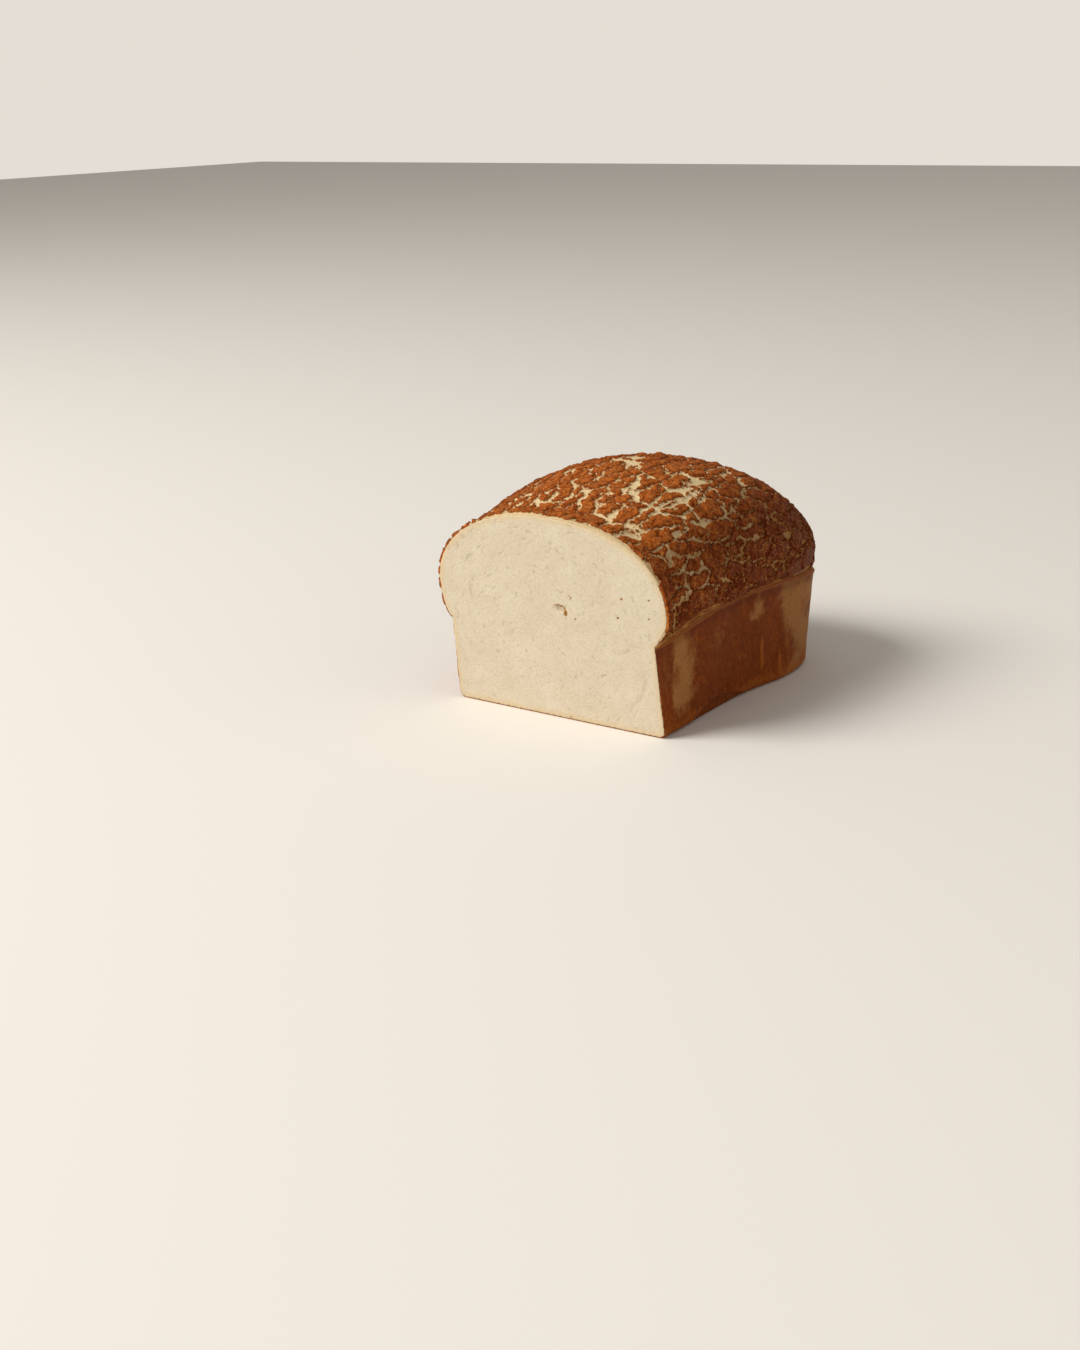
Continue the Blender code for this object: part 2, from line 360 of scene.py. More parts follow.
def close_cut(bm, normals, bands, recess):
    """Closes the cut with flat bands of crust, one inside the other, round a sunk face."""
    ring = [edge for edge in bm.edges if edge.is_boundary]
    for band in bands:
        def inwards(vertex):
            normals[vertex] = out = normals.get(vertex, Vector((0.0, 0.0, -1.0)))
            flat = Vector((out.x, 0.0, out.z)).normalized() * band
            return vertex.co - flat + Vector((0.0, CUT_LEAN * flat.z, 0.0))

        ring = next_ring(bm, ring, inwards, normals)
    ring = next_ring(bm, ring, lambda vertex: vertex.co + Vector((0.0, recess, 0.0)), normals)
    bmesh.ops.contextual_create(bm, geom=ring)


def finish_piece(bm, name, material):
    """Turns a bmesh into a smooth-shaded piece that rides on the loaf's only body."""
    bmesh.ops.translate(bm, verts=bm.verts, vec=-BOX_CENTRE)
    bmesh.ops.recalc_face_normals(bm, faces=bm.faces)
    open_edges = sum(not edge.is_manifold for edge in bm.edges)
    mesh = bpy.data.meshes.new(name)
    bm.to_mesh(mesh)
    triangles = sum(len(face.verts) - 2 for face in bm.faces)
    bm.free()
    mesh.shade_smooth()
    mesh.materials.append(material)
    piece = bpy.data.objects.new(name, mesh)
    bpy.context.scene.collection.objects.link(piece)
    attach(piece, "root")
    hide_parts("loaf")
    print(name, "has", triangles, "triangles and", open_edges, "open edges")
    return piece


# %% [markdown]
# ## How the paste crackles
# Before baking, the crown is brushed with a paste that dries faster than the dough under it grows.
# The skin tears into plates, and pale dough shows in the tears. Tears like these run midway between
# the plates' middles, which is what a Voronoi pattern gives. Its straight lines are bent by noise,
# the tears get an uneven width, and a second, finer set of tears stops short inside the plates. The
# result is a distance: how far a point lies inside a plate, or, if it is below zero, in a tear.

# %% How dark each part baked, and its painted shade
def how_baked_and_shaded(point, normal):
    """0 where the crown is golden, near the cut and on top, to 1 where it is dark, low on its sides: partly
    its bake, partly painted shade.
    """
    right = step(normal.x, 0.35, 0.92) * 0.80 + step(-normal.x, 0.10, 0.70) * 0.80
    far = step(point.y, 0.03, 0.17) * 0.45
    low = step(-point.z, -0.085, -0.055) * 0.25
    return min(max(right + far + low + ripple(point, 0.025, 0.25), 0.0), 1.0)


# %% The distance to the nearest tear
PLATE_SIZE = 0.0102
PLATE_STRETCH = 2.3
SMALL_PLATE_SIZE = 0.0068
SMALL_PLATE_STRETCH = 1.6
TEAR_WIDTH = 0.00096
NARROWER_IF_DARK = 0.00026
CLOSED_IF_DARK = 0.0012
TEAR_EDGE = 0.0005
DEPTH_LIMIT = 0.0030
WANDERS = ((0.013, 0.0030), (0.0046, 0.0019), (0.0021, 0.0010))
WANDER_SEED = 7
PLATES_SHIFT = Vector((0.11, 0.07, 0.05))
SMALL_PLATES_SHIFT = Vector((0.3, 0.1, 0.2))
WIDTH_SHIFT = Vector((1.0, 2.0, 3.0))
CLOSED_SHIFT = Vector((4.0, 8.0, 1.0))
REACH_SHIFT = Vector((7.0, 3.0, 5.0))

# Without a seed Blender draws new noise vectors on each run, and the tears would lie elsewhere
noise.seed_set(WANDER_SEED)


def gap_to_edge(point, size, stretch=1.0):
    """The distance to the nearest line midway between two plates, which are longer than wide by stretch."""
    squeeze = Vector((1.0, 1.0 / stretch, 1.0))
    place = point * squeeze / size
    _, middles = noise.voronoi(place)
    gaps = []
    for other in middles[1:]:
        across = (other - middles[0]).normalized()
        gap = ((middles[0] + other) / 2 - place).dot(across)
        gaps.append(gap / (across * squeeze).length)
    return size * min(gaps)


def wandering(point):
    """The point moved by noise of three sizes, so that the tears wander and their edges are lobed."""
    moved = point
    for size, reach in WANDERS:
        moved = moved + noise.noise_vector(point / size) * reach
    return moved


def crackle(point, baked):
    """How far a point of the crown lies inside a plate, in metres; below zero it lies in a tear."""
    moved = wandering(point)
    wide = max(ripple(point, 0.014, 0.9, WIDTH_SHIFT) + 0.85, 0.35)
    main = gap_to_edge(moved + PLATES_SHIFT, PLATE_SIZE, PLATE_STRETCH)
    main -= (TEAR_WIDTH - NARROWER_IF_DARK * baked) * wide
    main += max(ripple(point, 0.016, 1.0, CLOSED_SHIFT) - 0.1, 0.0) * CLOSED_IF_DARK * baked
    fine = gap_to_edge(moved + SMALL_PLATES_SHIFT, SMALL_PLATE_SIZE, SMALL_PLATE_STRETCH)
    fine -= ripple(point, 0.0085, 0.0008, REACH_SHIFT) - CLOSED_IF_DARK * baked
    depth = min(main, fine)
    lobes = abs(ripple(point, 0.0027, 0.0018)) + abs(ripple(point, 0.0013, 0.0009))
    depth += lobes * step(depth, -0.0011, 0.0) - TEAR_EDGE
    return min(max(depth, -DEPTH_LIMIT), DEPTH_LIMIT)


# %% [markdown]
# ## The crown
# The crown's skin is the dome and its overhang, one close mesh with a vertex about every millimetre,
# fine enough to carry every plate as real relief. Each vertex is lifted along the surface by the
# thickness of the paste where it lies inside a plate. A modifier with a texture could lift them too,
# but the script knows the distances, so it also leaves them on the mesh for the colours to follow.

# %% Lift the plates
CELLS_ACROSS = 155
CELLS_ALONG = 250
DOME_RINGS = 40
UNDER_RINGS = 22
CROWN_BANDS = (0.0002, 0.0013)
RECESS = 0.010
TUCK = 0.006
BEHIND_CRUMB = 0.003
PASTE_THICKNESS = 0.0013
PASTE_EDGE = 0.0007
BARE_ABOVE_RIM = 0.0040
BARE_BY_CUT = 0.0080
CREASE_DEPTH = 0.0009


def top_of_crown(bm):
    """A grid bent over the top of the crown, each vertex's place on it, and its edge."""
    made = bmesh.ops.create_grid(bm, x_segments=CELLS_ACROSS, y_segments=CELLS_ALONG, size=1.0)
    places = {}
    for vertex in made["verts"]:
        place = (vertex.co.x, (vertex.co.y + 1) / 2)
        size = max(abs(place[0]), end_part(place[1]))
        places[vertex] = place
        vertex.co = dome_point(place, 1 - TOP_SHARE * size)
    at_front = {vertex for vertex, place in places.items() if place[1] < SMALL}
    rim = [e for e in bm.edges if e.is_boundary and not at_front.issuperset(e.verts)]
    return places, rim


def tucked_in(place, share):
    """A point inside the loaf, level with the rim, where the crown's skin is closed."""
    point = under_point(place, 0.0)
    keep = 1 - TUCK / RIM_HALF_WIDTH
    behind = BEHIND_CRUMB if place[1] < SMALL else -TUCK * end_part(place[1])
    return Vector((point.x * keep, point.y + behind, point.z))


def above_paste(point):
    """How far a point lies above the lower edge of the paste, which is highest a little way from the cut."""
    bare = 0.35 + 0.65 * near(point.y, 0.026, 0.026) - 0.35 * step(point.y, 0.140, 0.165)
    reach = BARE_ABOVE_RIM * (1 + ripple(point, 0.012, 1.2))
    reach += BARE_BY_CUT * bare * step(point.x, 0.0, 0.01)
    return point.z - rim_height(point.x, point.y) - reach


def behind_broken_edge(point, normal):
    """How far a point lies behind the line, along the top of the cut, where the knife broke paste off."""
    upper = step(normal.z, 0.30, 0.60) * step(point.x, -0.055, -0.030)
    broken = 0.0022 + ripple(point, 0.007, 0.0030)
    return point.y + CUT_LEAN * point.z - broken + 0.006 * (1 - upper)


def paste_height(point, depth, left):
    """How high the paste stands: steep at a tear, crumbly, curled up at some edges, thinner on the left."""
    crumbly = ripple(point, 0.0020, 0.00040) + ripple(point, 0.0055, 0.00040)
    crumbly += max(ripple(point, 0.0042, 1.0) - 0.25, 0.0) * 0.0008
    curl = near(depth, 0.0007, 0.0009) * max(ripple(point, 0.0045, 1.0), 0.0) * 0.0012
    thickness = PASTE_THICKNESS * (1 - 0.5 * left) + crumbly + curl
    return step(depth, -0.15 * PASTE_EDGE, 0.85 * PASTE_EDGE) * thickness


def how_shelved(point, above):
    """How far the bare dough over the crease baked to a tan ledge."""
    ledge = (1 - step(above, -0.0005, 0.0045)) * (1 - 0.6 * near(point.y, 0.150, 0.018))
    return ledge + 0.8 - 0.8 * step(point.z - rim_height(point.x, point.y), 0.0012, 0.0026)


def lift_plates(bm, places, normals):
    """Raises the plates along the surface, and notes each vertex's paste and bake with painted shade on the
    mesh.
    """
    paste, bake_and_shade, shelf = (bm.verts.layers.float[name] for name in ("paste", "bake_and_shade", "shelf"))
    for vertex, (_, along) in places.items():
        point, normal = vertex.co.copy(), normals[vertex]
        behind_knife = point.y + CUT_LEAN * point.z
        # This value is partly the bake's own colour and partly painted shade; it narrows the tears and is
        # noted for the colours.
        baked = how_baked_and_shaded(point, normal)
        above = above_paste(point)
        left = step(-normal.x, 0.2, 0.8)
        depth = crackle(point, baked) - 0.0005 * left
        depth = max(min(depth, above, behind_broken_edge(point, normal)), -DEPTH_LIMIT)
        swell = ripple(point, 0.021, 0.0009) * step(point.z, 0.058, 0.07)
        lift = normal * (paste_height(point, depth, left) + swell * step(behind_knife, 0.0, 0.010))
        crease = 1 - step(point.z - rim_height(point.x, point.y), 0.0006, 0.0016)
        lift -= normal * CREASE_DEPTH * crease * step(behind_knife, 0.002, 0.010)
        if along < SMALL:
            lift.y = -CUT_LEAN * lift.z
        vertex.co += lift
        vertex[paste], vertex[bake_and_shade], vertex[shelf] = depth / MM, baked, how_shelved(point, above)
    for vertex in set(normals) - set(places):
        cut = [e.other_vert(vertex) for e in vertex.link_edges if e.other_vert(vertex) in places]
        vertex[paste] = max(cut[0][paste], -0.5) if cut else -0.5
        vertex[shelf] = 1 - step(vertex.co.z - rim_height(vertex.co.x, 0.0), 0.002, 0.008)


def build_crown(material):
    """The crown as one closed piece."""
    bm = noting_bmesh("paste", "bake_and_shade", "shelf")
    places, rim = top_of_crown(bm)
    dome = [(dome_point, (1 - TOP_SHARE) * (1 - k / DOME_RINGS)) for k in range(1, DOME_RINGS + 1)]
    rim = hang_rings(bm, places, rim, dome + falling(under_point, UNDER_RINGS))
    outside = dict(places)
    bmesh.ops.recalc_face_normals(bm, faces=bm.faces)
    normals = {vertex: vertex.normal.copy() for vertex in outside}
    rim = hang_rings(bm, places, rim, [(tucked_in, 0.0)])
    close_foot(bm, places, rim)
    close_cut(bm, normals, CROWN_BANDS, RECESS)
    lift_plates(bm, outside, normals)
    return finish_piece(bm, "crown", material)


# %% [markdown]
# ## The tin crust
# Below the rim the loaf took the tin's smooth side. It isn't flat: shallow waves, a few upright
# folds where the dough caught on the tin, fine wrinkles, and one side whose foot curled up over a
# darker hollow. The wall is its own piece, because it needs fewer vertices than the crown. Its upper
# edge runs on a little way inside the crown, so that no gap can open at the crease.

# %% Shape the wall
WALL_ACROSS = 100
WALL_ALONG = 160
WALL_RINGS = 50
FOOT_RINGS = 6
WALL_BANDS = (0.0014,)
BEHIND_CROWN = 0.0001
# Each fold's place along the wall, its height and its width
FOLDS = ((0.105, 0.021, 0.0015), (0.122, 0.008, 0.0017))
FOLD_HEIGHT = 0.0007
LIP_MIDDLE = 0.058
LIP_REACH = 0.034
LIP_HEIGHT = 0.0085
LIP_DEPTH = 0.0020


def above_rim(place, share):
    """A point inside the crown, above the rim, where the wall's skin starts."""
    point = wall_point(place, 1.0)
    behind = BEHIND_CRUMB if place[1] < SMALL else -0.002 * end_part(place[1])
    return Vector((point.x * 0.97, point.y + behind, point.z + 0.004 * share))


def cap_of_wall(bm):
    """One face just inside the crown for the wall to hang from, its vertices' places and its edge."""
    bmesh.ops.create_grid(bm, x_segments=WALL_ACROSS, y_segments=WALL_ALONG, size=1.0)
    bmesh.ops.dissolve_faces(bm, faces=bm.faces[:])
    places = {vertex: (vertex.co.x, (vertex.co.y + 1) / 2) for vertex in bm.verts}
    at_front = {vertex for vertex, place in places.items() if place[1] < SMALL}
    for vertex, place in places.items():
        vertex.co = above_rim(place, 1.0)
    return places, [edge for edge in bm.edges if not at_front.issuperset(edge.verts)]


def under_lip(point):
    """How deep a point lies in the hollow under the curled-up stretch of the right side."""
    along = (point.y - LIP_MIDDLE) / LIP_REACH
    edge = LIP_HEIGHT * (1 - along * along) if point.x > 0 else 0.0
    return step(edge - point.z, 0.0, 0.0018) if edge > 0 else 0.0


def fold_height(point):
    """How far the wall's upright folds stand out."""
    height = 0.0
    for middle, level, width in FOLDS:
        off = point.y - middle - 0.05 * (point.z - level)
        height += FOLD_HEIGHT * math.exp(-((off / width) ** 2)) * near(point.z, level, 0.014)
    return height


def rim_line(point):
    """1 on the thin raised line just under the crease."""
    below = rim_height(point.x, point.y) - point.z + ripple(point, 0.008, 0.0006)
    return 1 - step(below, 0.0006, 0.0018)


def wall_relief(point):
    """How far the wall stands out from the plain tin shape."""
    waves = ripple(point, 0.030, 0.0010) + ripple(point, 0.009, 0.00030)
    wrinkle = noise.noise(Vector((point.x / 0.004, point.y / 0.0022, point.z / 0.009))) * 0.00016
    return waves + wrinkle + fold_height(point) + 0.0005 * rim_line(point) - LIP_DEPTH * under_lip(point)


def how_pale(point):
    """How pale the wall baked: in a patch by the cut, at the far end and in a few blotches."""
    wobble = ripple(point, 0.018, 0.009) + ripple(point, 0.006, 0.004)
    right = 0.034 - 0.012 * ((point.z - 0.032) / 0.024) ** 2
    patch = step(point.y + 0.4 * wobble, 0.006, 0.012)
    patch *= 1 - step(point.y + 0.8 * wobble, right - 0.007, right + 0.007)
    patch *= step(point.z + wobble, 0.004, 0.016) * (0.75 + 0.5 * ripple(point, 0.011, 1.0))
    far = step(point.y + wobble, 0.120, 0.140) * (0.85 + 0.7 * ripple(point, 0.014, 1.0))
    off = math.hypot((point.y + wobble - 0.104) / 0.009, (point.z + wobble - 0.050) / 0.007)
    return max(patch, far, 0.8 - 0.8 * step(off, 0.2, 1.3), ripple(point, 0.020, 0.8) - 0.1)


def how_tan(point):
    """How tan the wall is: along the foot, on the folds and on the line under the crease."""
    wobble = ripple(point, 0.012, 0.002)
    foot = 1 - step(point.z + wobble, 0.004, 0.013)
    return max(foot * 0.7, rim_line(point), min(fold_height(point) / FOLD_HEIGHT, 1.0) * 1.2)


def painted_shade_on_wall(point):
    """How much painted shade darkens the wall: in the hollow under the curled lip and in the crease under the
    crown's overhang.
    """
    below = rim_height(point.x, point.y) - point.z + ripple(point, 0.010, 0.002)
    return max(under_lip(point), 0.8 - 0.8 * step(below, 0.0030, 0.0080))


def shape_wall(bm, places, normals):
    """Gives the wall its waves and folds, and notes on the mesh how pale and tan it is and how much painted
    shade it takes.
    """
    wall_shade, pale, tan = (bm.verts.layers.float[name] for name in ("wall_shade", "pale", "tan"))
    for vertex, (_, along) in places.items():
        point = vertex.co.copy()
        lift = normals[vertex] * wall_relief(point) * step(point.z, 0.0, 0.003)
        if along < SMALL:
            lift.y = -CUT_LEAN * lift.z
        vertex.co += lift
        # The first value is painted shade under the lip and in the crease under the crown.
        vertex[wall_shade], vertex[pale], vertex[tan] = painted_shade_on_wall(point), how_pale(point), how_tan(point)
        vertex[pale] = max(vertex[pale], 1.3 * rim_line(point))
        if along < SMALL and point.x < 0:
            vertex[pale] = 1.3
    for vertex in set(normals) - set(places):
        vertex[pale] = 0.6 if vertex.co.x > 0 else 1.3


def build_wall(material):
    """The tin-baked sides and base as one closed piece."""
    bm = noting_bmesh("wall_shade", "pale", "tan")
    places, rim = cap_of_wall(bm)
    rim = hang_rings(bm, places, rim, [(wall_point, 1.0)] + falling(wall_point, WALL_RINGS))
    rim = hang_rings(bm, places, rim, falling(foot_point, FOOT_RINGS))
    bmesh.ops.recalc_face_normals(bm, faces=bm.faces)
    outside = dict(places)
    normals = {vertex: vertex.normal.copy() for vertex in outside}
    close_foot(bm, places, rim)
    close_cut(bm, normals, WALL_BANDS, RECESS)
    shape_wall(bm, outside, normals)
    bmesh.ops.translate(bm, verts=bm.verts, vec=(0.0, BEHIND_CROWN, 0.0))
    return finish_piece(bm, "tin_crust", material)


# %% [markdown]
# ## The crumb
# The knife laid open a fine, even crumb. It is a thin slab that fills the cut: a grid stretched
# between the four edges of the cut's outline, which is a Coons patch. A filled outline would be
# one flat face with nowhere to put the pores, while the grid has a vertex every half millimetre.

# %% The outline of the cut
CRUMB_INSET = 0.0007
CRUMB_UNEVEN = 0.0004
UNEVEN_SIZE = 0.0023
CRUMB_COLUMNS = 250
CRUMB_ROWS = 210


def side_of_cut(across, count):
    """Points up one side of the cut, evenly spaced, as (x, z)."""
    shares = np.linspace(0.0, 1.0, 40)
    points = [foot_point((across, 0.0), share) for share in shares]
    points += [wall_point((across, 0.0), share) for share in shares]
    points += [under_point((across, 0.0), share) for share in shares]
    points += [dome_point((across, 0.0), share * (1 - TOP_SHARE)) for share in shares]
    points = np.array([(point.x, point.z) for point in points])
    length = np.concatenate([[0.0], np.cumsum(np.linalg.norm(np.diff(points, axis=0), axis=1))])
    at = np.linspace(0.0, length[-1], count)
    return np.stack([np.interp(at, length, points[:, axis]) for axis in (0, 1)], axis=1)


def inset(points, distance):
    """A closed outline moved inwards, to the left of its direction."""
    along = np.roll(points, -2, axis=0) - np.roll(points, 2, axis=0)
    inwards = np.stack([-along[:, 1], along[:, 0]], axis=1)
    return points + inwards / np.linalg.norm(inwards, axis=1, keepdims=True) * distance


def edges_of_cut():
    """The base, right, top and left edge of the crumb, each as (x, z) points."""
    left, right = side_of_cut(-1.0, CRUMB_ROWS + 1), side_of_cut(1.0, CRUMB_ROWS + 1)
    base = np.linspace(left[0], right[0], CRUMB_COLUMNS + 1)
    spread = np.linspace(1.0, -1.0, CRUMB_COLUMNS + 1)
    top = [dome_point((across, 0.0), 1 - TOP_SHARE * abs(across)) for across in spread]
    top = np.array([(point.x, point.z) for point in top])
    ring = np.concatenate([base[:-1], right[:-1], top[:-1], left[::-1][:-1]])
    uneven = [ripple(Vector((x, 0.0, z)), UNEVEN_SIZE, CRUMB_UNEVEN) for x, z in ring]
    ring = inset(ring, CRUMB_INSET + np.array(uneven)[:, None])
    ring = np.concatenate([ring, ring[:1]])
    a, b, c = CRUMB_COLUMNS, CRUMB_COLUMNS + CRUMB_ROWS, 2 * CRUMB_COLUMNS + CRUMB_ROWS
    return ring[: a + 1], ring[a : b + 1], ring[b : c + 1][::-1], ring[c:][::-1], ring


# %% Marks and pores on the cut
# Each mark's place across and up, its half width and half height, all in mm, and how dark it is;
# the first seven, in and round the hole, are painted shade on its upper edge and in its hollow
MARKS_AND_HOLE_SHADE = (
    (4.2, 67.8, 1.1, 0.8, 0.35),
    (5.4, 69.2, 1.5, 0.9, 0.55),
    (7.4, 69.7, 1.9, 0.9, 0.7),
    (9.6, 69.2, 1.9, 1.0, 0.7),
    (11.3, 68.0, 1.3, 1.3, 0.8),
    (9.0, 67.2, 3.0, 2.0, 0.3),
    (11.9, 65.6, 1.5, 2.2, 1.15),
    (49.7, 79.4, 0.9, 0.9, 1.0),
    (67.1, 81.1, 0.6, 0.6, 1.6),
    (66.1, 70.3, 0.5, 0.6, 1.5),
    (46.3, 67.9, 0.7, 0.6, 1.7),
    (15.4, 76.2, 0.5, 0.5, 1.4),
    (16.6, 75.4, 0.5, 0.5, 1.5),
    (15.9, 74.6, 0.4, 0.4, 1.4),
    (18.1, 62.9, 0.6, 0.6, 1.5),
    (65.4, 59.9, 1.1, 3.2, 0.3),
    (8.3, 1.9, 1.6, 0.7, 0.5),
    (15.0, 3.6, 4.4, 0.6, 0.25),
    (25.0, 4.2, 3.6, 0.6, 0.2),
)
# The hole beside the largest fold: the same four measures, and its depth in metres
HOLE = (9.2, 67.6, 3.2, 2.2, 0.0010)
# The middle of the faint arc, across and up, and its radius, all in mm
SWIRL = (36.0, 36.0, 25.0)
PORE_DEPTH = 0.00028
PORE_TURNS = 12.0
PORE_SPACING = 0.0016
CRUMB_MIDDLE = Vector((0.0, 0.0, 0.050))


def spot(point, x, z, wide, high):
    """1 at the middle of a soft-edged oval spot and 0 outside it; sizes in mm."""
    off = math.hypot((point.x / MM - x) / wide, (point.z / MM - z) / high)
    return 1 - step(off, 0.6, 1.15)


def swirl(point):
    """1 along the faint curved line, low on the right, where the dough was folded in."""
    across, up = point.x / MM - SWIRL[0], point.z / MM - SWIRL[1]
    angle = math.degrees(math.atan2(up, across)) + ripple(point, 0.006, 8)
    off = abs(math.hypot(across, up) - SWIRL[2] + ripple(point, 0.004, 1.0))
    return (1 - step(off, 0.3, 2.0)) * near(angle, -30.0, 42.0)


def stain_and_shade(point):
    """How strongly the crumb is marked here by a fold of the dough, and by painted shade in the hole; above 1
    it is a dark speck of crust.
    """
    return max(0.2 * swirl(point), *(spot(point, *mark[:4]) * mark[4] for mark in MARKS_AND_HOLE_SHADE))


def pores(point):
    """How open the crumb is here, 0 to 1: long flat pores lying in arcs round the middle, and finer ones."""
    away = point - CRUMB_MIDDLE
    round_it = away.normalized() * PORE_TURNS
    bent = away.length / PORE_SPACING + ripple(point, 0.005, 1.5)
    long = noise.noise(Vector((round_it.x, round_it.z + ripple(point, 0.007, 1.0), bent)))
    upper_left = step(point.z - 0.7 * point.x, 0.00, 0.13)
    long = max(long - 0.34 + 0.10 * upper_left, 0.0) * 1.5
    fine = max(ripple(point, 0.0011, 1.0) - 0.20, 0.0) * 0.8
    return min(long + fine, 1.0)


# %% Build the crumb
CRUMB_THICKNESS = 0.005
CRUMB_PROUD = 0.0002
CRUMB_EDGE_SINK = 0.0001


def coons(u, v, base, right, top, left):
    """A point of the patch stretched between four edges, from its column and row."""
    s, t = u / CRUMB_COLUMNS, v / CRUMB_ROWS
    ruled = (1 - t) * base[u] + t * top[u] + (1 - s) * left[v] + s * right[v]
    corners = (1 - s) * (1 - t) * base[0] + s * (1 - t) * base[-1] + (1 - s) * t * top[0] + s * t * top[-1]
    return ruled - corners


def build_crumb(material):
    """The crumb as one closed slab."""
    base, right, top, left, ring = edges_of_cut()
    bm = noting_bmesh("stain_and_shade", "inside", "pore_shade")
    bmesh.ops.create_grid(bm, x_segments=CRUMB_COLUMNS, y_segments=CRUMB_ROWS, size=1.0)
    marked, inside, pore_shade = (bm.verts.layers.float[name] for name in ("stain_and_shade", "inside", "pore_shade"))
    for vertex in bm.verts:
        u = round((vertex.co.x + 1) / 2 * CRUMB_COLUMNS)
        v = round((vertex.co.y + 1) / 2 * CRUMB_ROWS)
        x, z = coons(u, v, base, right, top, left)
        point = Vector((x, 0.0, z))
        deep = float(np.linalg.norm(ring - (x, z), axis=1).min())
        sink = CRUMB_EDGE_SINK * (1 - step(deep, 0.0, 0.0008))
        open_here = pores(point) * step(deep, 0.0, 0.002)
        sink += open_here * PORE_DEPTH + HOLE[4] * spot(point, *HOLE[:4]) + 0.0002 * swirl(point)
        sink += abs(ripple(point, 0.018, 1.0)) * 0.0003 * step(deep, 0.002, 0.008)
        vertex.co = Vector((x, -CUT_LEAN * z - CRUMB_PROUD + sink, z))
        # The pore value is also used as painted shade in the pores.
        vertex[marked], vertex[inside], vertex[pore_shade] = stain_and_shade(point), deep / MM, open_here
    made = bmesh.ops.extrude_edge_only(bm, edges=[e for e in bm.edges if e.is_boundary])["geom"]
    back = [item for item in made if isinstance(item, bmesh.types.BMVert)]
    bmesh.ops.translate(bm, verts=back, vec=(0.0, CRUMB_THICKNESS, 0.0))
    middle = Matrix.Translation(-CRUMB_MIDDLE)
    bmesh.ops.scale(bm, verts=back, vec=(0.96, 1.0, 0.96), space=middle)
    bmesh.ops.contextual_create(bm, geom=[e for e in bm.edges if e.is_boundary])
    return finish_piece(bm, "crumb", material)


# %% [markdown]
# ## Shaders shared by the finishes
# Nothing on a loaf is one colour. Three effects make it uneven: blotches with soft edges, an even,
# fine grain, and a net of hair cracks. Each is a node group built once, so that every finish can set
# its size. Noise in object space is used, because it needs no unwrapping and stays with the loaf.

# %% Node helpers
def srgb(red, green, blue):
    """A colour in 0 to 255, as a picture stores it, turned into the linear values a shader takes."""
    values = (np.array((red, green, blue)) / 255 + 0.055) / 1.055
    return (*(float(v) for v in values**2.4), 1.0)


def add(tree, kind, values=None, **settings):
    """Adds a node, sets its options and fills its sockets with values or with links."""
    node = tree.nodes.new(kind)
    for name, value in settings.items():
        setattr(node, name, value)
    for key, value in (values or {}).items():
        if isinstance(value, bpy.types.NodeSocket):
            tree.links.new(value, node.inputs[key])
        else:
            node.inputs[key].default_value = value
    return node


def mix(tree, share, first, second, blend="MIX"):
    """A mix of two colours."""
    node = add(tree, "ShaderNodeMix", data_type="RGBA", blend_type=blend)
    for index, value in ((0, share), (6, first), (7, second)):
        if isinstance(value, bpy.types.NodeSocket):
            tree.links.new(value, node.inputs[index])
        else:
            node.inputs[index].default_value = value
    return node.outputs[2]


def maths(tree, operation, *values):
    """The result of one operation on values or links."""
    node = add(tree, "ShaderNodeMath", dict(enumerate(values)), operation=operation)
    return node.outputs[0]


def ramp(tree, value, low, high, to_low=0.0, to_high=1.0):
    """A value moved smoothly from one range to another."""
    node = add(
        tree,
        "ShaderNodeMapRange",
        {"Value": value, "From Min": low, "From Max": high, "To Min": to_low, "To Max": to_high},
        interpolation_type="SMOOTHSTEP",
    )
    return node.outputs[0]


def noted(tree, name):
    """The value that the mesh carries under this name."""
    return add(tree, "ShaderNodeAttribute", attribute_name=name).outputs["Fac"]


# %% Blotches, grain and hair cracks as node groups
def new_group(name, inputs, output):
    """An empty node group with number inputs and one number output."""
    group = bpy.data.node_groups.new(name, "ShaderNodeTree")
    for label, value in inputs:
        socket = group.interface.new_socket(label, in_out="INPUT", socket_type="NodeSocketFloat")
        socket.default_value = value
    group.interface.new_socket(output, in_out="OUTPUT", socket_type="NodeSocketFloat")
    return group, group.nodes.new("NodeGroupInput").outputs, group.nodes.new("NodeGroupOutput").inputs


def blotches_group():
    """Soft-edged blotches of a size in mm that cover more of the surface as Cover rises from 0 to 1."""
    inputs = (("Size", 3.0), ("Cover", 0.5), ("Softness", 0.1), ("Stretch", 1.0))
    group, given, result = new_group("blotches", inputs, "Mask")
    place = add(group, "ShaderNodeTexCoord").outputs["Object"]
    squeeze = add(group, "ShaderNodeCombineXYZ", {"X": 1.0, "Y": 1.0, "Z": given["Stretch"]}).outputs[0]
    place = add(group, "ShaderNodeVectorMath", {0: place, 1: squeeze}, operation="MULTIPLY").outputs[0]
    scale = maths(group, "DIVIDE", 1000.0, given["Size"])
    look = {"Vector": place, "Scale": scale, "Detail": 3.0, "Roughness": 0.6}
    field = add(group, "ShaderNodeTexNoise", look)
    level = maths(group, "SUBTRACT", 1.0, maths(group, "MULTIPLY_ADD", given["Cover"], 0.6, 0.2))
    low = maths(group, "SUBTRACT", level, given["Softness"])
    high = maths(group, "ADD", level, given["Softness"])
    group.links.new(ramp(group, field.outputs["Fac"], low, high), result["Mask"])
    return group


